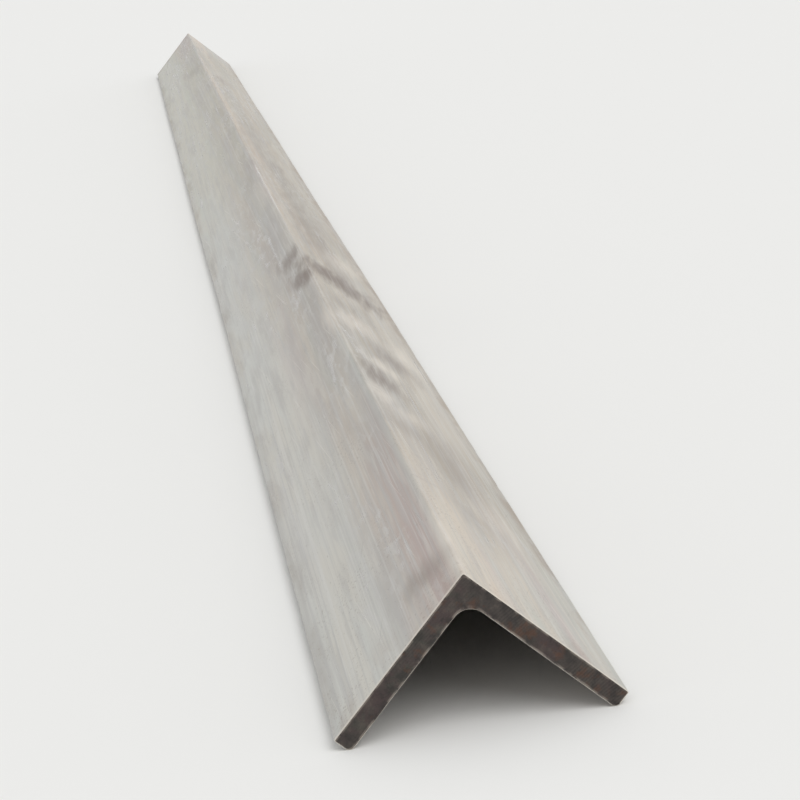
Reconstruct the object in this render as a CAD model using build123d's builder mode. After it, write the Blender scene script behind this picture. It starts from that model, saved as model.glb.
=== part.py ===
"""Equal leg angle section: one bar of hot-rolled steel, lying on its toes with its heel up.

Units are millimetres. The bar runs along Y, X is across it and +Z is up. The origin is on the
floor under the heel, at half the bar's length.
"""

import math
import os

from build123d import *

# The rolled section
LEG_WIDTH = 150.0  # outside width of each leg, from the heel to the toe
LEG_THICKNESS = 15.0  # both legs, parallel from the root to the toe
HEEL_RADIUS = 2.0  # outside corner, which the rolls leave almost sharp
ROOT_RADIUS = 14.0  # fillet in the corner between the inner faces
TOE_RADIUS = 5.0  # inner edge of each toe, a third of the thickness
TOE_EDGE_RADIUS = 1.5  # outer edge of each toe

# The bar
BAR_LENGTH = 6000.0  # one mill length, sawn square at both ends

# The legs slope at 45 degrees, so each toe touches the floor with the lowest point of its
# rounded inner edge. The rounding's centre stands one radius above the floor, and the heel's
# sharp corner stands this far above that centre.
HEEL_ABOVE_TOE_CENTRE = (LEG_WIDTH + LEG_THICKNESS - 2 * TOE_RADIUS) / math.sqrt(2)
HEEL_HEIGHT = TOE_RADIUS + HEEL_ABOVE_TOE_CENTRE

# The section is drawn square to its own legs, with the heel's sharp corner at (0, 0): local X
# runs down the right leg and local Y down the left one. Its plane is the bar's near end.
section_plane = Plane(
    origin=(0, -BAR_LENGTH / 2, HEEL_HEIGHT), x_dir=(1, 0, -1), z_dir=(0, 1, 0)
)

# The outline's corners, from the heel round to the heel again, each with its rounding
section_corners = {
    (0, 0): HEEL_RADIUS,
    (LEG_WIDTH, 0): TOE_EDGE_RADIUS,
    (LEG_WIDTH, LEG_THICKNESS): TOE_RADIUS,
    (LEG_THICKNESS, LEG_THICKNESS): ROOT_RADIUS,
    (LEG_THICKNESS, LEG_WIDTH): TOE_RADIUS,
    (0, LEG_WIDTH): TOE_EDGE_RADIUS,
}

with BuildPart() as angle_section:
    with BuildSketch(section_plane):
        with BuildLine():
            FilletPolyline(*section_corners, radius=section_corners.values(), close=True)
        make_face()
    extrude(amount=BAR_LENGTH)

angle_section.part.label = "angle_section"

os.makedirs("parts", exist_ok=True)
export_step(angle_section.part, "parts/angle_section.step")
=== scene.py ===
import math

import bpy
import numpy as np
from mathutils import Matrix, Vector


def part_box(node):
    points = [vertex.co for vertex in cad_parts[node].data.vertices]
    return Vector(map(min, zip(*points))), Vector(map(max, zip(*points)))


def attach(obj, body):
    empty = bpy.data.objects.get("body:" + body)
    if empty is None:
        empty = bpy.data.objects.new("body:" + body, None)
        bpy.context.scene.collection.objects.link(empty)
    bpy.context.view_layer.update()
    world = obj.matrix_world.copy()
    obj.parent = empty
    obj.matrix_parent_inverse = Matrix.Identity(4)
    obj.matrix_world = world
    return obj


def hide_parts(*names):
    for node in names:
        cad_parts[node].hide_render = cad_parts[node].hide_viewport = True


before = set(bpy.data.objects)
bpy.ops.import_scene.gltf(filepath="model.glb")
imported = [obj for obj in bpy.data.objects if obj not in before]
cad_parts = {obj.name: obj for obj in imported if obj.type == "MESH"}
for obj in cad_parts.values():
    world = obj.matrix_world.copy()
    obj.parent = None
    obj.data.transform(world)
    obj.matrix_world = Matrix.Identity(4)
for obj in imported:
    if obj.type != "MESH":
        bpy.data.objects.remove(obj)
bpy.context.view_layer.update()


# The camera
# Held a stride and a half in front of the bar's near end, half a metre above its heel and a hand's
# length to its left, and leaning a little, so that the bar runs away up the frame to the left and
# shows both its outer faces.
EYE = Vector((-0.172, -4.77, 0.626))  # metres, in the row frame
LOOKS_ALONG = Vector((0.082, 1.0, -0.2165))
LEANS = math.radians(7.7)  # the camera's own up, from the row's up towards the right
LENS_MM, SENSOR_MM = 119.5, 36.0  # a long lens: only the bar is taken in, from that same place

camera_data = bpy.data.cameras.new("camera")
camera_data.lens = LENS_MM
camera_data.sensor_width = SENSOR_MM
camera = bpy.data.objects.new("camera", camera_data)
camera.location = EYE
ahead = LOOKS_ALONG.normalized()
to_the_right = ahead.cross(Vector((math.sin(LEANS), 0.0, math.cos(LEANS)))).normalized()
camera_axes = Matrix((to_the_right, to_the_right.cross(ahead), -ahead)).transposed()
camera.rotation_euler = camera_axes.to_euler()
bpy.context.scene.collection.objects.link(camera)
bpy.context.scene.camera = camera


# The bar
# One length of equal leg angle, rolled hot from a steel billet through grooved rolls, cooled in
# air and sawn to length. It lies on the rounded inner edges of its two toes, with its heel up.
# The rolls leave it almost true: the flanks wave a little and the toes are slightly uneven.
LEG = 0.150  # the section's sizes, in metres
WALL = 0.015
HEEL_RADIUS = 0.002
ROOT_RADIUS = 0.014
TOE_RADIUS = 0.005
TOE_EDGE_RADIUS = 0.0015
HEEL_HEIGHT = TOE_RADIUS + (LEG + WALL - 2 * TOE_RADIUS) / math.sqrt(2)  # its sharp corner's
bar_low, bar_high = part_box("angle_section")
BAR_LENGTH = bar_high.y - bar_low.y


def arc(centre, radius, start, end, steps):
    """Points on an arc: the centre plus the radius times the cosine and sine of an angle that
    goes in equal steps from start to end, in degrees."""
    angle = np.radians(np.linspace(start, end, steps + 1))
    return np.array(centre) + radius * np.stack([np.cos(angle), np.sin(angle)], 1)


def flat(start, end, steps):
    """Points on a straight stretch, four times as close at its two ends as on the whole: the
    share of the way is an even step less three quarters of a sine wave's."""
    even = np.linspace(0, 1, steps + 1)
    share = even - 0.75 * np.sin(2 * np.pi * even) / (2 * np.pi)
    return np.array(start) + share[:, None] * (np.array(end) - np.array(start))


def path(*stretches):
    """The stretches joined end to end, each without its last point, which is the next one's
    first, and then the very last point."""
    return np.concatenate([s[:-1] for s in stretches] + [stretches[-1][-1:]])


# Two paths run over and under the section, from the left toe's flat to the right one's, with as
# many points each. They are drawn square to the legs: the heel's sharp corner is (0, 0), the
# right leg runs along the first axis and the left leg along the second.
WALL_STEPS, FLANK_STEPS, FACE_STEPS = 8, 30, 26
root_centre = WALL + ROOT_RADIUS
over = path(
    arc((TOE_EDGE_RADIUS, LEG - TOE_EDGE_RADIUS), TOE_EDGE_RADIUS, 90, 180, 3),
    flat((0, LEG - TOE_EDGE_RADIUS), (0, HEEL_RADIUS), FLANK_STEPS),
    arc((HEEL_RADIUS, HEEL_RADIUS), HEEL_RADIUS, 180, 270, 6),
    flat((HEEL_RADIUS, 0), (LEG - TOE_EDGE_RADIUS, 0), FLANK_STEPS),
    arc((LEG - TOE_EDGE_RADIUS, TOE_EDGE_RADIUS), TOE_EDGE_RADIUS, 270, 360, 3),
)
under = path(
    arc((WALL - TOE_RADIUS, LEG - TOE_RADIUS), TOE_RADIUS, 90, 0, 6),
    flat((WALL, LEG - TOE_RADIUS), (WALL, root_centre), FACE_STEPS),
    arc((root_centre, root_centre), ROOT_RADIUS, 180, 270, 8),
    flat((root_centre, WALL), (LEG - TOE_RADIUS, WALL), FACE_STEPS),
    arc((LEG - TOE_RADIUS, WALL - TOE_RADIUS), TOE_RADIUS, 90, 0, 6),
)
through = flat([0.0], [1.0], WALL_STEPS)  # shares of the way through the wall, over to under

# The closed outline starts at the root, out of sight, and goes by the left toe, the heel and the
# right toe back to the root.
last = len(over) - 1
root = last // 2
left_flat = (1 - through) * over[0] + through * under[0]
right_flat = (1 - through) * over[-1] + through * under[-1]
outline = np.concatenate([
    under[root:0:-1], left_flat[:0:-1], over, right_flat[1:-1], under[:root:-1]])
ring = len(outline)
over_places = root + WALL_STEPS + np.arange(last + 1)
under_places = (root - np.arange(last + 1)) % ring
heel = over_places[root]

# How far round the outline each point is from the heel, less than nothing on the left
strides = np.linalg.norm(np.diff(outline, axis=0, append=outline[:1]), axis=1)
around = np.concatenate([[0.0], np.cumsum(strides)])
around -= around[heel]
TOE_AT = around[over_places[-1]]  # where the outer face ends, measured from the heel

# Each point's outward direction is square to the line between its two neighbours.
chord = np.roll(outline, -1, axis=0) - np.roll(outline, 1, axis=0)
outward = np.stack([chord[:, 1], -chord[:, 0]], 1)
outward /= np.linalg.norm(outward, axis=1, keepdims=True)


def eased(share):
    """Nothing below 0, one above 1, and a smooth rise between: three squares less two cubes."""
    share = np.clip(share, 0, 1)
    return share**2 * (3 - 2 * share)


# Rows along the bar lie close together at both ends, where the saw cut is, and 14 mm apart from a
# third of a metre in. The broken edge of each cut is a quarter round of three steps, with one
# more row just past it.
CLOSE_ROWS, WIDE_ROWS, WIDENED_OVER = 0.0025, 0.014, 0.35
CUT_EDGE, PAST_EDGE = 0.0006, 0.00096
MILLIMETRE = 0.001
fine = np.linspace(0, BAR_LENGTH, round(BAR_LENGTH / MILLIMETRE) + 1)
to_end = np.minimum(fine, BAR_LENGTH - fine)
row_gap = CLOSE_ROWS + (WIDE_ROWS - CLOSE_ROWS) * eased(to_end / WIDENED_OVER)
rows_passed = np.concatenate([[0], np.cumsum(np.diff(fine) / row_gap[1:])])
even_rows = np.linspace(0, rows_passed[-1], int(rows_passed[-1]) + 1)[1:-1]
turn = np.radians([0, 30, 60, 90])
edge = np.append(CUT_EDGE * (1 - np.cos(turn)), PAST_EDGE)
along = np.concatenate(
    [edge, np.interp(even_rows, rows_passed, fine), BAR_LENGTH - edge[::-1]])
broken = np.zeros(len(along))
broken[:4] = CUT_EDGE * (1 - np.sin(turn))
broken[-4:] = broken[3::-1]

# What rolling and handling left: each takes steel away or moves it, by about a millimetre at most.
FLANK_WAVE, TOE_LOSS, SWAY = 0.00025, 0.0008, 0.0012
TOE_ZONE = 0.020
NICKS, NICK_DEPTH, NICK_LENGTH, NICK_WIDTH = 40, (0.0003, 0.0010), (0.006, 0.022), 0.004
NICKS_OFF_CUT = 0.02
draw = np.random.default_rng(3)


def unevenness(along, around, longest, shortest, waves=7):
    """About -1 to 1: the sum of sine waves along the bar whose lengths go in even ratios from the
    longest to the shortest, each shifted steadily round the section, over one and a half times
    the root of their number."""
    lengths = np.geomspace(longest, shortest, waves)
    shifts = draw.uniform(-12, 12, waves)
    starts = draw.uniform(0, 2 * np.pi, waves)
    angle = 2 * np.pi * along[..., None] / lengths + shifts * around[..., None] + starts
    return np.sin(angle).sum(-1) / math.sqrt(waves) / 1.5


at_row, at_point = along[:, None], around[None, :-1]
section = np.broadcast_to(outline, (len(along), ring, 2)).copy()
toe_distance = LEG - outline.max(axis=1)
waviness = FLANK_WAVE * unevenness(at_row, at_point, longest=2.4, shortest=0.25)
waviness = waviness * eased(toe_distance / (2 * TOE_ZONE))
section += (waviness - broken[:, None])[..., None] * outward
for leg, side in ((0, 1), (1, -1)):
    on_leg = eased(1 - toe_distance / TOE_ZONE) * (np.sign(around[:-1]) == side)
    loss = TOE_LOSS * (0.4 + 0.6 * unevenness(along, 0 * along, longest=1.1, shortest=0.08))
    section[..., leg] -= np.clip(loss, 0, TOE_LOSS)[:, None] * on_leg
nicks = zip(
    draw.uniform(NICKS_OFF_CUT, BAR_LENGTH - NICKS_OFF_CUT, NICKS),
    draw.choice([-TOE_AT, 0, 0, TOE_AT], NICKS),
    draw.uniform(*NICK_DEPTH, NICKS), draw.uniform(*NICK_LENGTH, NICKS))
for nick_along, nick_around, depth, length in nicks:
    dip = np.exp(-((at_row - nick_along) / length) ** 2
                 - ((at_point - nick_around) / NICK_WIDTH) ** 2)
    section -= depth * dip[..., None] * outward


def stand(section, along):
    """The section where the bar lies: across is the difference of the two leg distances over
    root 2, up is the heel's height less their sum over root 2, and along counts from the near
    end."""
    first, second = section[..., 0], section[..., 1]
    across = (first - second) / math.sqrt(2)
    up = HEEL_HEIGHT - (first + second) / math.sqrt(2)
    return np.stack([across, np.broadcast_to(bar_low.y + along, across.shape), up], -1)


body = stand(section, at_row)
body[..., 0] += SWAY * unevenness(along, 0 * along, longest=8.0, shortest=2.0, waves=3)[:, None]

# The saw comes out on the underside and leaves a burr there, a thin torn lip along the rim.
BURR = 0.0008
under_rim = np.zeros(ring)
under_rim[under_places[1:-1]] = 1.0


def torn(around):
    """The burr's height along the rim, from none to whole: 0.4 plus 0.7 of an unevenness of short
    waves, cut off below nothing and above one."""
    uneven = unevenness(around, 0 * around, longest=0.06, shortest=0.009)
    return np.clip(0.4 + 0.7 * uneven, 0, 1)


# Each sawn end is a grid of straight lines through the wall, from the over path's points to the
# under path's, and shares its rim with the bar's first or last row.
cap_points, cap_quads, cap_uv = [], [], []
steps = np.arange(1, WALL_STEPS)
first_of_cap = body[..., 0].size
for end_row, facing in ((0, 1), (len(along) - 1, -1)):
    body[end_row, :, 1] -= facing * BURR * torn(around[:-1]) * under_rim
    rim = body[end_row]
    blend = through[1:-1, :, None]
    grid = (1 - blend) * rim[over_places] + blend * rim[under_places]
    grid[..., 1] = bar_low.y + along[end_row]
    table = np.empty((WALL_STEPS + 1, last + 1), int)
    table[0], table[-1] = over_places, under_places
    table[1:-1, 0], table[1:-1, -1] = over_places[0] - steps, over_places[-1] + steps
    table += end_row * ring
    table[1:-1, 1:-1] = first_of_cap + np.arange(len(steps) * (last - 1)).reshape(-1, last - 1)
    first_of_cap += len(steps) * (last - 1)
    across = np.broadcast_to(around[over_places], table.shape)
    depth = np.broadcast_to(WALL * through, table.shape)
    corners = np.stack([table, across, depth], -1)
    quads = np.stack([corners[:-1, :-1], corners[1:, :-1], corners[1:, 1:], corners[:-1, 1:]], 2)
    quads = quads.reshape(-1, 4, 3)[:, ::facing]
    cap_points.append(grid[:, 1:-1].reshape(-1, 3))
    cap_quads.append(quads[..., 0].astype(int))
    cap_uv.append(quads[..., 1:])

# The sides join each row's point to the next one round and to the same two on the next row.
row, place = np.mgrid[:len(along), :ring + 1]
corners = np.stack([row * ring + place % ring, around[place], along[row]], -1)
quads = np.stack([corners[:-1, :-1], corners[:-1, 1:], corners[1:, 1:], corners[1:, :-1]], 2)
quads = quads.reshape(-1, 4, 3)
all_points = np.concatenate([body.reshape(-1, 3), *cap_points])
all_quads = np.concatenate([quads[..., 0].astype(int), *cap_quads])
all_uv = np.concatenate([quads[..., 1:], *cap_uv])

bar_mesh = bpy.data.meshes.new("angle_bar")
bar_mesh.from_pydata(all_points.tolist(), [], all_quads.tolist())
uv_map = bar_mesh.uv_layers.new(name="around_and_along")
uv_map.uv.foreach_set("vector", all_uv.astype(np.float32).ravel())
bar_mesh.polygons.foreach_set("use_smooth", np.ones(len(all_quads), bool))
on_cap = np.arange(len(all_quads)) >= len(quads)
bar_mesh.polygons.foreach_set("material_index", on_cap.astype(np.int32))
bar_mesh.set_sharp_from_angle(angle=math.radians(40))
bar = bpy.data.objects.new("angle_bar", bar_mesh)
bpy.context.scene.collection.objects.link(bar)


def linear(code):
    """A hex sRGB colour turned linear: each channel, as a share of 255, over 12.92 where it is at
    most 0.04045, and elsewhere plus 0.055, over 1.055, to the power 2.4."""
    shares = np.array([int(code[i:i + 2], 16) for i in (1, 3, 5)]) / 255
    light = np.where(shares <= 0.04045, shares / 12.92, ((shares + 0.055) / 1.055) ** 2.4)
    return (*light.tolist(), 1.0)


def add_node(tree, kind, inputs, **settings):
    """Adds a node of that kind with its settings, fills each named or numbered input with a value,
    a link from a socket or a link from another node's first output, and returns the node."""
    node = tree.nodes.new(kind)
    for name, setting in settings.items():
        setattr(node, name, setting)
    for name, value in inputs.items():
        if isinstance(value, bpy.types.Node):
            value = value.outputs[0]
        if isinstance(value, bpy.types.NodeSocket):
            tree.links.new(value, node.inputs[name])
        else:
            node.inputs[name].default_value = value
    return node


def bare_material(name):
    """A new material whose node tree is still empty."""
    material = bpy.data.materials.new(name)
    material.use_nodes = True
    material.node_tree.nodes.clear()
    return material


def how_much_shows(tree, places, together):
    """How much of each thing shows, from none to whole: a smooth step of a pattern or a distance
    for each of the places, and the product of several of those for each thing in together."""
    mask = {
        name: add_node(tree, "ShaderNodeMapRange", {0: source, 1: none, 2: whole},
                       interpolation_type="SMOOTHSTEP")
        for name, (source, none, whole) in places.items()}
    for name, (first, *others) in together.items():
        mask[name] = mask[first]
        for other in others:
            mask[name] = add_node(
                tree, "ShaderNodeMath", {0: mask[name], 1: mask[other]}, operation="MULTIPLY")
    return mask


def lay_coats(tree, mask, ground, coats):
    """The colour once every coat lies on the ground colour, in order: each is mixed in by its
    mask times the most of it that shows anywhere."""
    colour = linear(ground)
    for name, most, code in coats:
        share = add_node(tree, "ShaderNodeMath", {0: mask[name], 1: most}, operation="MULTIPLY")
        colour = add_node(
            tree, "ShaderNodeMix", {0: share, 6: colour, 7: linear(code)},
            data_type="RGBA").outputs[2]
    return colour


def add_up(tree, start, parts):
    """The start plus, for each part, its pattern or mask times its own amount."""
    total = start
    for source, amount in parts:
        total = add_node(
            tree, "ShaderNodeMath", {0: source, 1: amount, 2: total}, operation="MULTIPLY_ADD")
    return total


# Hot-rolled mill scale: the blue-grey skin of magnetite that forms as the red bar cools. It is
# smooth and satin, lies in long soft bands where the rolls ran, flakes and powders in patches, is
# rubbed bright on the heel and the toes, and lets a little rust through.
mill_scale = bare_material("hot_rolled_mill_scale")
tree = mill_scale.node_tree
on_bar = add_node(tree, "ShaderNodeUVMap", {}, uv_map="around_and_along")
split = add_node(tree, "ShaderNodeSeparateXYZ", {0: on_bar})
from_near = split.outputs[1]
from_heel = add_node(tree, "ShaderNodeMath", {0: split}, operation="ABSOLUTE")
from_far = add_node(
    tree, "ShaderNodeMath", {0: BAR_LENGTH, 1: from_near}, operation="SUBTRACT")
from_cut = add_node(
    tree, "ShaderNodeMath", {0: from_near, 1: from_far}, operation="MINIMUM")
past_toe = add_node(tree, "ShaderNodeMath", {0: from_heel, 1: TOE_AT}, operation="SUBTRACT")
from_toe = add_node(tree, "ShaderNodeMath", {0: past_toe}, operation="ABSOLUTE")

# Each pattern is soft noise with its own mark's width round the bar and length along it in
# metres, its turn in degrees, and its number of ever finer layers. Hairlines, grain, pocks and
# specks are finer on a real bar, and are drawn as coarse as they need to be to show.
PATTERNS = {
    "bands": (0.045, 2.60, 0, 2),
    "tints": (0.034, 0.95, 0, 3),
    "clouds": (0.024, 0.380, 0, 4),
    "wisps": (0.0085, 0.210, 0, 3),
    "draws": (0.0045, 1.80, 0, 1),
    "streaks": (0.0028, 0.60, 0, 2),
    "hairlines": (0.0014, 0.22, 0, 1),
    "flakes": (0.010, 0.045, 0, 5),
    "flake_places": (0.060, 0.50, 0, 2),
    "scratches": (0.0011, 0.26, 4, 1),
    "scrapes": (0.0013, 0.11, -15, 1),
    "smears": (0.012, 0.080, -52, 2),
    "breaks": (0.011, 0.130, -6, 4),
    "smear_places": (0.070, 0.60, 0, 2),
    "pocks": (0.0026, 0.0075, 0, 1),
    "freckles": (0.0034, 0.0046, 0, 2),
    "rust_places": (0.030, 0.13, 0, 5),
    "swell": (0.012, 0.045, 0, 1),
    "grain": (0.0016, 0.0024, 0, 1),
    "specks": (0.0020, 0.0028, 0, 1),
    "speck_places": (0.040, 0.160, 0, 3),
}
UNLIKE = 9.7  # a step through the noise, after which it bears no likeness to itself
pattern = {}
for number, (name, (width, length, turned, layers)) in enumerate(PATTERNS.items()):
    sized = add_node(
        tree, "ShaderNodeMapping",
        {"Vector": on_bar, "Location": (0.0, 0.0, UNLIKE * number),
         "Rotation": (0.0, 0.0, math.radians(turned)), "Scale": (width, length, 1.0)},
        vector_type="TEXTURE")
    pattern[name] = add_node(
        tree, "ShaderNodeTexNoise",
        {"Vector": sized, "Scale": 1.0, "Detail": layers, "Roughness": 0.55})

# Chains and the heels of other bars leave dull dark dabs slantwise beside the heel, and rub the
# scale pale between them and on the heel. Each mark is a soft oval: its kind, its middle round and
# along the bar, its turn in degrees, its half sizes round and along the bar before it is turned,
# and its strength. Its edge is broken: the reach from its middle, in half sizes, plus the breaks,
# is whole at one value and none at another. The last six are long dim stretches.
DABS = (
    ("pale", -0.001, 0.08, 0, 0.011, 0.200, 0.72),
    ("pale", 0.100, 0.38, 89, 0.095, 0.044, 0.42),
    ("pale", 0.050, 0.67, 69, 0.080, 0.033, 0.65),
    ("pale", 0.020, 0.70, 78, 0.085, 0.033, 0.65),
    ("pale", 0.052, 0.93, 85, 0.062, 0.040, 0.80),
    ("pale", -0.005, 1.09, 0, 0.012, 0.120, 0.70),
    ("pale", 0.110, 1.17, 82, 0.110, 0.042, 0.70),
    ("pale", 0.046, 1.18, 74, 0.120, 0.040, 0.80),
    ("pale", 0.055, 1.40, 72, 0.095, 0.035, 0.50),
    ("pale", 0.090, 1.82, 76, 0.185, 0.047, 0.70),
    ("pale", -0.010, 2.25, 0, 0.018, 0.210, 0.42),
    ("dull", -0.029, 0.08, -58, 0.050, 0.032, 0.54),
    ("dull", 0.060, 0.31, -81, 0.080, 0.036, 0.31),
    ("dull", 0.034, 0.57, 64, 0.075, 0.036, 0.36),
    ("dull", 0.034, 0.82, 82, 0.095, 0.042, 0.82),
    ("dull", 0.019, 1.01, 70, 0.090, 0.034, 0.19),
    ("dull", 0.077, 1.05, 83, 0.100, 0.048, 0.58),
    ("dull", 0.040, 1.29, 73, 0.100, 0.044, 0.30),
    ("dull", 0.056, 1.53, 71, 0.145, 0.092, 1.00),
    ("dull", -0.016, 1.41, -83, 0.085, 0.025, 1.00),
    ("dull", -0.019, 1.60, 90, 0.090, 0.031, 0.80),
    ("dull", -0.028, 2.45, 80, 0.150, 0.028, 0.33),
    ("dull", 0.062, 2.86, 85, 0.280, 0.034, 0.47),
    ("dull", 0.060, 3.74, 90, 0.390, 0.034, 0.30),
    ("dull", 0.040, 4.60, 84, 0.260, 0.034, 0.36),
    ("dull", -0.034, 4.90, -84, 0.260, 0.034, 0.36),
    ("dull", -0.018, 1.25, 0, 0.048, 0.620, 0.21),
    ("dull", -0.060, 1.90, 0, 0.085, 2.000, 0.22),
    ("dull", 0.036, 2.90, 0, 0.076, 1.900, 0.33),
    ("dull", 0.070, 0.54, 0, 0.036, 0.240, 0.42),
    ("dull", 0.056, 2.05, 0, 0.052, 1.100, 0.50),
    ("dull", -0.085, 4.10, 0, 0.090, 2.500, 0.09),
)
BROKEN_BY, WHOLE_AT, NONE_AT = 1.6, 0.70, 2.10
dabs = {"dull": 0.0, "pale": 0.0}
for kind, middle_around, middle_along, turned, half_around, half_along, strength in DABS:
    placed = add_node(
        tree, "ShaderNodeMapping",
        {"Vector": on_bar, "Location": (middle_around, middle_along, 0.0),
         "Rotation": (0.0, 0.0, math.radians(turned)), "Scale": (half_around, half_along, 1.0)},
        vector_type="TEXTURE")
    reach = add_node(
        tree, "ShaderNodeVectorMath", {0: placed}, operation="LENGTH").outputs["Value"]
    uneven = add_node(
        tree, "ShaderNodeMath", {0: pattern["breaks"], 1: BROKEN_BY, 2: reach},
        operation="MULTIPLY_ADD")
    dab = add_node(
        tree, "ShaderNodeMapRange", {0: uneven, 1: NONE_AT, 2: WHOLE_AT, 4: strength},
        interpolation_type="SMOOTHSTEP")
    dabs[kind] = add_node(tree, "ShaderNodeMath", {0: dabs[kind], 1: dab}, operation="MAXIMUM")

# Where each thing shows, from none to whole: a smooth step of a pattern or of a distance
MASKS = {
    "warm": (pattern["bands"], 0.42, 0.60),
    "mauve": (pattern["tints"], 0.52, 0.68),
    "green": (pattern["tints"], 0.48, 0.34),
    "pale": (pattern["clouds"], 0.50, 0.64),
    "dull": (pattern["clouds"], 0.48, 0.34),
    "light_wisp": (pattern["wisps"], 0.52, 0.64),
    "dark_wisp": (pattern["wisps"], 0.48, 0.36),
    "drawn_dark": (pattern["draws"], 0.60, 0.70),
    "drawn_light": (pattern["draws"], 0.40, 0.30),
    "streaked": (pattern["streaks"], 0.50, 0.66),
    "hairlined": (pattern["hairlines"], 0.58, 0.72),
    "flake": (pattern["flakes"], 0.545, 0.562),
    "flake_rim": (pattern["flakes"], 0.530, 0.546),
    "flake_place": (pattern["flake_places"], 0.48, 0.62),
    "scratched": (pattern["scratches"], 0.70, 0.76),
    "scraped": (pattern["scrapes"], 0.72, 0.78),
    "smeared": (pattern["smears"], 0.60, 0.74),
    "dabbed": (dabs["dull"], 0.0, 1.0),
    "rubbed": (dabs["pale"], 0.0, 1.0),
    "smear_place": (pattern["smear_places"], 0.52, 0.64),
    "pocked": (pattern["pocks"], 0.70, 0.76),
    "freckled": (pattern["freckles"], 0.64, 0.70),
    "rust_place": (pattern["rust_places"], 0.46, 0.64),
    "specked": (pattern["specks"], 0.60, 0.70),
    "speck_place": (pattern["speck_places"], 0.44, 0.66),
    "left": (split.outputs[0], -0.002, -0.009),
    "right": (split.outputs[0], -0.002, 0.002),
    "by_heel": (from_heel, 0.085, 0.010),
    "heel_band": (from_heel, 0.060, 0.030),
    "outer_half": (from_heel, 0.030, 0.110),
    "outer_third": (from_heel, 0.082, 0.106),
    "off_toe": (from_toe, 0.008, 0.026),
    "cleaned_from": (from_near, 0.55, 0.80),
    "cleaned_to": (from_near, 1.95, 1.45),
    "on_heel": (from_heel, 0.0034, 0.0012),
    "heel_line": (from_heel, 0.0085, 0.0030),
    "on_toe": (from_toe, 0.0045, 0.0015),
    "by_toe": (from_toe, 0.030, 0.003),
    "toe_line": (past_toe, -0.016, -0.006),
    "inside": (past_toe, 0.002, 0.010),
    "on_cut": (from_cut, 0.0032, 0.0010),
    "by_cut": (from_cut, 0.090, 0.004),
    "near_cut": (from_cut, 0.80, 0.15),
    "past_cut": (from_cut, 0.12, 0.55),
    "past_first": (from_near, 2.00, 3.20),
    "first_half": (from_near, 4.60, 2.60),
}

# Several of them at once, such as smears only in their places and only near the heel
TOGETHER = {
    "flaked": ("flake", "flake_place"),
    "flake_edge": ("flake_rim", "flake_place"),
    "smear": ("smeared", "smear_place", "by_heel"),
    "toe_rust": ("rust_place", "by_toe"),
    "right_toe_rust": ("rust_place", "by_toe", "right"),
    "cut_rust": ("rust_place", "by_cut"),
    "toe_freckle": ("freckled", "by_toe", "rust_place"),
    "cut_freckle": ("freckled", "by_cut"),
    "stray_freckle": ("freckled", "pocked", "mauve"),
    "speckled": ("specked", "speck_place"),
    "inner_rust": ("rust_place", "inside"),
    "inner_freckle": ("freckled", "inside"),
    "left_near": ("by_heel", "left", "near_cut"),
    "left_dim": ("by_heel", "left", "dull"),
    # Beside the heel on the right flank: a cream tint of the scale that is partly a painted
    # highlight
    "right_near_tint_and_painted_highlight": ("heel_band", "right", "near_cut"),
    "right_warm_tint_and_painted_highlight": ("heel_band", "right", "warm"),
    "right_past": ("right", "past_cut"),
    "right_dull": ("right", "past_cut", "first_half"),
    "right_clean": ("right", "outer_third", "off_toe", "cleaned_from", "cleaned_to"),
    "left_past": ("by_heel", "left", "past_cut"),
    "left_olive": ("left", "past_first"),
    "dim_place": ("by_heel", "smear_place"),
    "left_grey": ("outer_half", "left"),
    "worn_heel": ("on_heel", "streaked"),
    "worn_toe": ("on_toe", "pale"),
}
mask = how_much_shows(tree, MASKS, TOGETHER)

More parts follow.
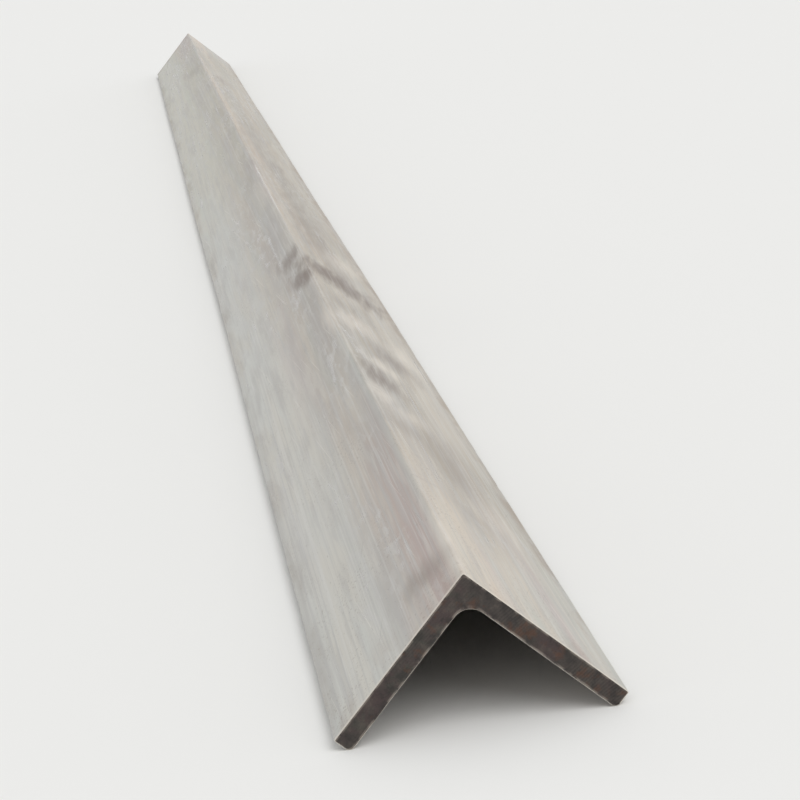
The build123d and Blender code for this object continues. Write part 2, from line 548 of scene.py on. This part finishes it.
# The scale's colours, laid on in order over its grey, with a painted highlight in the cream beside
# the
# right heel: where each shows, how much of it at most, and what it is
GROUND = "#aaa79d"
COATS = (
    ("warm", 0.75, "#bcae9a"),
    ("mauve", 0.65, "#ad9b95"),
    ("green", 0.70, "#a5aba2"),
    ("left_grey", 0.75, "#bbbdb7"),
    ("right_past", 0.60, "#9a8b70"),
    ("right_dull", 0.38, "#8b7e6b"),
    ("right_clean", 0.30, "#ddd2c2"),
    ("left_past", 0.65, "#8c8378"),
    ("left_olive", 0.28, "#a8a57c"),
    ("left_near", 0.76, "#957970"),
    ("left_dim", 0.35, "#9b8f89"),
    # The cream beside the heel on the right flank is partly a painted highlight.
    ("right_warm_tint_and_painted_highlight", 0.60, "#c6b299"),
    ("right_near_tint_and_painted_highlight", 0.65, "#ccbaa3"),
    ("dim_place", 0.40, "#938a83"),
    ("pale", 0.40, "#c6c0b3"),
    ("dull", 0.40, "#918b84"),
    ("light_wisp", 0.36, "#c8c5bc"),
    ("dark_wisp", 0.36, "#8b8883"),
    ("flake_edge", 0.14, "#cdc8bd"),
    ("flaked", 0.30, "#92918f"),
    ("drawn_dark", 0.38, "#878581"),
    ("drawn_light", 0.32, "#cecdc9"),
    ("streaked", 0.28, "#8b8985"),
    ("hairlined", 0.26, "#cdccc8"),
    ("scratched", 0.45, "#dad4ca"),
    ("scraped", 0.40, "#767069"),
    ("pocked", 0.38, "#756e66"),
    ("speckled", 0.60, "#76675a"),
    ("heel_line", 0.12, "#a39a8f"),
    ("toe_line", 0.22, "#868179"),
    ("rubbed", 0.60, "#ded3c4"),
    ("dabbed", 0.95, "#614d3c"),
    ("smear", 0.35, "#857b74"),
    ("inside", 0.55, "#756d66"),
    ("toe_rust", 0.10, "#8b6f58"),
    ("right_toe_rust", 0.25, "#8b6f58"),
    ("cut_rust", 0.30, "#8e7764"),
    ("inner_rust", 0.50, "#715645"),
    ("toe_freckle", 0.50, "#6a4732"),
    ("cut_freckle", 0.50, "#6f4e3a"),
    ("stray_freckle", 0.45, "#7b5a45"),
    ("inner_freckle", 0.50, "#5f4232"),
    ("worn_heel", 0.42, "#bfb9af"),
    ("worn_toe", 0.50, "#b4aea4"),
    ("on_cut", 0.70, "#c8c0b3"),
)
colour = lay_coats(tree, mask, GROUND, COATS)

# Powdery and rusty places are rougher than the plain scale, and rubbed ones smoother.
PLAIN_ROUGHNESS = 0.42
roughness = add_up(tree, PLAIN_ROUGHNESS, (
    (mask["pale"], 0.08), (mask["flaked"], -0.10), (mask["dark_wisp"], -0.06),
    (mask["light_wisp"], 0.06), (mask["toe_rust"], 0.15), (mask["cut_rust"], 0.12),
    (mask["inner_rust"], 0.15), (mask["dabbed"], 0.08), (mask["worn_heel"], -0.14),
    (mask["scratched"], -0.12), (mask["streaked"], -0.05), (mask["drawn_dark"], -0.08),
    (mask["drawn_light"], 0.05)))

# The relief in metres: a soft swell, grain, pits and specks, flakes with thin edges, and lines
# drawn by the rolls
height = add_up(tree, 0.0, (
    (pattern["grain"], 0.00003), (mask["flaked"], 0.00005), (pattern["streaks"], 0.00005),
    (pattern["swell"], 0.00030), (mask["pocked"], -0.00010), (mask["scratched"], -0.00003),
    (mask["speckled"], 0.00008)))
bumped = add_node(
    tree, "ShaderNodeBump", {"Height": height, "Distance": 1.0, "Strength": 1.0})
shader = add_node(
    tree, "ShaderNodeBsdfPrincipled",
    {"Base Color": colour, "Roughness": roughness, "IOR": 2.4, "Normal": bumped})
add_node(tree, "ShaderNodeOutputMaterial", {"Surface": shader})
bar_mesh.materials.append(mill_scale)

# A saw cut under a film of rust: the disc leaves shallow arcs in the bare steel, and rain turns
# it a flat brown-black within weeks, with plum, olive and orange stains and bright rubbed rims.
saw_cut = bare_material("rust_filmed_saw_cut")
tree = saw_cut.node_tree
on_bar = add_node(tree, "ShaderNodeUVMap", {}, uv_map="around_and_along")
split = add_node(tree, "ShaderNodeSeparateXYZ", {0: on_bar})
depth = split.outputs[1]
from_heel = add_node(tree, "ShaderNodeMath", {0: split}, operation="ABSOLUTE")
to_toe = add_node(tree, "ShaderNodeMath", {0: TOE_AT, 1: from_heel}, operation="SUBTRACT")
to_under = add_node(tree, "ShaderNodeMath", {0: WALL, 1: depth}, operation="SUBTRACT")
to_face = add_node(tree, "ShaderNodeMath", {0: depth, 1: to_under}, operation="MINIMUM")
from_rim = add_node(tree, "ShaderNodeMath", {0: to_toe, 1: to_face}, operation="MINIMUM")

# Stains are soft noise, alike in every direction: each has its size in metres and its number of
# ever finer layers.
STAINS = {
    "plum": (0.030, 3),
    "olive": (0.022, 3),
    "dark": (0.009, 5),
    "orange": (0.012, 4),
    "pits": (0.0016, 3),
    "wander": (0.060, 2),
}
in_place = add_node(tree, "ShaderNodeTexCoord", {}).outputs["Object"]
pattern = {}
for number, (name, (size, layers)) in enumerate(STAINS.items()):
    sized = add_node(
        tree, "ShaderNodeMapping",
        {"Vector": in_place, "Location": (0.0, 0.31 * number, 0.0), "Scale": (size,) * 3},
        vector_type="TEXTURE")
    pattern[name] = add_node(
        tree, "ShaderNodeTexNoise",
        {"Vector": sized, "Scale": 1.0, "Detail": layers, "Roughness": 0.6})

# The disc's arcs are rings about its axle, which passed half a metre off, and they wander and
# fade a little. Its real bites are finer, and are drawn two millimetres wide so that they show.
AXLE, BITE = (0.34, 0.0, -0.36), 0.0021
from_axle = add_node(
    tree, "ShaderNodeVectorMath", {0: in_place, 1: AXLE}, operation="SUBTRACT")
flattened = add_node(
    tree, "ShaderNodeVectorMath", {0: from_axle, 1: (1.0, 0.0, 1.0)}, operation="MULTIPLY")
radius = add_node(
    tree, "ShaderNodeVectorMath", {0: flattened}, operation="LENGTH").outputs["Value"]
wandered = add_node(
    tree, "ShaderNodeMath", {0: pattern["wander"], 1: 4 * BITE, 2: radius},
    operation="MULTIPLY_ADD")
turns = add_node(
    tree, "ShaderNodeMath", {0: wandered, 1: 2 * math.pi / BITE}, operation="MULTIPLY")
wave = add_node(tree, "ShaderNodeMath", {0: turns}, operation="SINE")
arcs = add_node(
    tree, "ShaderNodeMath", {0: wave, 1: 0.5, 2: 0.5}, operation="MULTIPLY_ADD")

MASKS = {
    "plum": (pattern["plum"], 0.45, 0.60),
    "olive": (pattern["olive"], 0.50, 0.64),
    "dark": (pattern["dark"], 0.48, 0.64),
    "light": (pattern["dark"], 0.46, 0.30),
    "orange": (pattern["orange"], 0.56, 0.72),
    "pitted": (pattern["pits"], 0.52, 0.68),
    "arcs": (arcs, 0.10, 0.90),
    "bitten": (pattern["wander"], 0.40, 0.62),
    "rim": (from_rim, 0.0018, 0.0005),
    "rub_place": (pattern["dark"], 0.60, 0.40),
}
TOGETHER = {
    "rubbed_rim": ("rim", "rub_place"),
    "bite": ("arcs", "bitten"),
}
mask = how_much_shows(tree, MASKS, TOGETHER)
GROUND = "#38322e"
COATS = (
    ("plum", 0.75, "#3f3130"),
    ("olive", 0.65, "#393a32"),
    ("light", 0.45, "#544b44"),
    ("bite", 0.30, "#4a423c"),
    ("dark", 0.60, "#1e1a18"),
    ("pitted", 0.40, "#211d1b"),
    ("orange", 0.50, "#583a29"),
    ("rubbed_rim", 0.60, "#857c72"),
)
colour = lay_coats(tree, mask, GROUND, COATS)
PLAIN_ROUGHNESS = 0.72
roughness = add_up(tree, PLAIN_ROUGHNESS, (
    (mask["bite"], -0.08), (mask["orange"], 0.12), (mask["rubbed_rim"], -0.20)))
height = add_up(tree, 0.0, (
    (mask["bite"], 0.00005), (pattern["pits"], 0.00014), (pattern["dark"], 0.00025)))
bumped = add_node(
    tree, "ShaderNodeBump", {"Height": height, "Distance": 1.0, "Strength": 1.0})
shader = add_node(
    tree, "ShaderNodeBsdfPrincipled",
    {"Base Color": colour, "Roughness": roughness, "IOR": 1.5, "Normal": bumped})
add_node(tree, "ShaderNodeOutputMaterial", {"Surface": shader})
bar_mesh.materials.append(saw_cut)

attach(bar, "root")
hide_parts("angle_section")


# The floor
# A level studio floor of pale painted board, matt and much wider than the bar. It only carries
# the bar and takes its shadow.
FLOOR_HALF = 60.0
floor_mesh = bpy.data.meshes.new("studio_floor")
floor_corners = FLOOR_HALF * np.array([[-1, -1, 0], [1, -1, 0], [1, 1, 0], [-1, 1, 0]])
floor_mesh.from_pydata(floor_corners.tolist(), [], [(0, 1, 2, 3)])
floor = bpy.data.objects.new("studio_floor", floor_mesh)
bpy.context.scene.collection.objects.link(floor)
painted_board = bare_material("matt_painted_board")
tree = painted_board.node_tree
shader = add_node(
    tree, "ShaderNodeBsdfPrincipled", {"Base Color": linear("#ececea"), "Roughness": 0.9})
add_node(tree, "ShaderNodeOutputMaterial", {"Surface": shader})
floor_mesh.materials.append(painted_board)


# The light
# A white studio whose walls are a little lighter than its ceiling lights the bar from all round.
# One very broad lamp, high up to the right of the near end, makes the right flank the lighter one
# and gives the soft shadow.
WALLS, CEILING, CEILING_ABOVE = 0.88, 0.68, 0.80  # the last is a height on a ball of one around
LAMP, LAMP_WIDTH = 1.20, math.radians(50)
LAMP_FROM = Vector((0.50, -0.75, 1.0))
studio = bpy.data.worlds.new("white_studio")
studio.use_nodes = True
tree = studio.node_tree
tree.nodes.clear()
direction = add_node(tree, "ShaderNodeTexCoord", {}).outputs["Generated"]
split = add_node(tree, "ShaderNodeSeparateXYZ", {0: direction})
strength = add_node(
    tree, "ShaderNodeMapRange",
    {0: split.outputs[2], 1: 0.0, 2: CEILING_ABOVE, 3: WALLS, 4: CEILING},
    interpolation_type="SMOOTHSTEP")
shader = add_node(
    tree, "ShaderNodeBackground", {"Color": linear("#ffffff"), "Strength": strength})
add_node(tree, "ShaderNodeOutputWorld", {"Surface": shader})
bpy.context.scene.world = studio
lamp_data = bpy.data.lights.new("broad_lamp", "SUN")
lamp_data.energy = LAMP
lamp_data.angle = LAMP_WIDTH
lamp = bpy.data.objects.new("broad_lamp", lamp_data)
lamp.rotation_euler = LAMP_FROM.to_track_quat("Z", "Y").to_euler()
bpy.context.scene.collection.objects.link(lamp)
bpy.context.scene.view_settings.view_transform = "Standard"
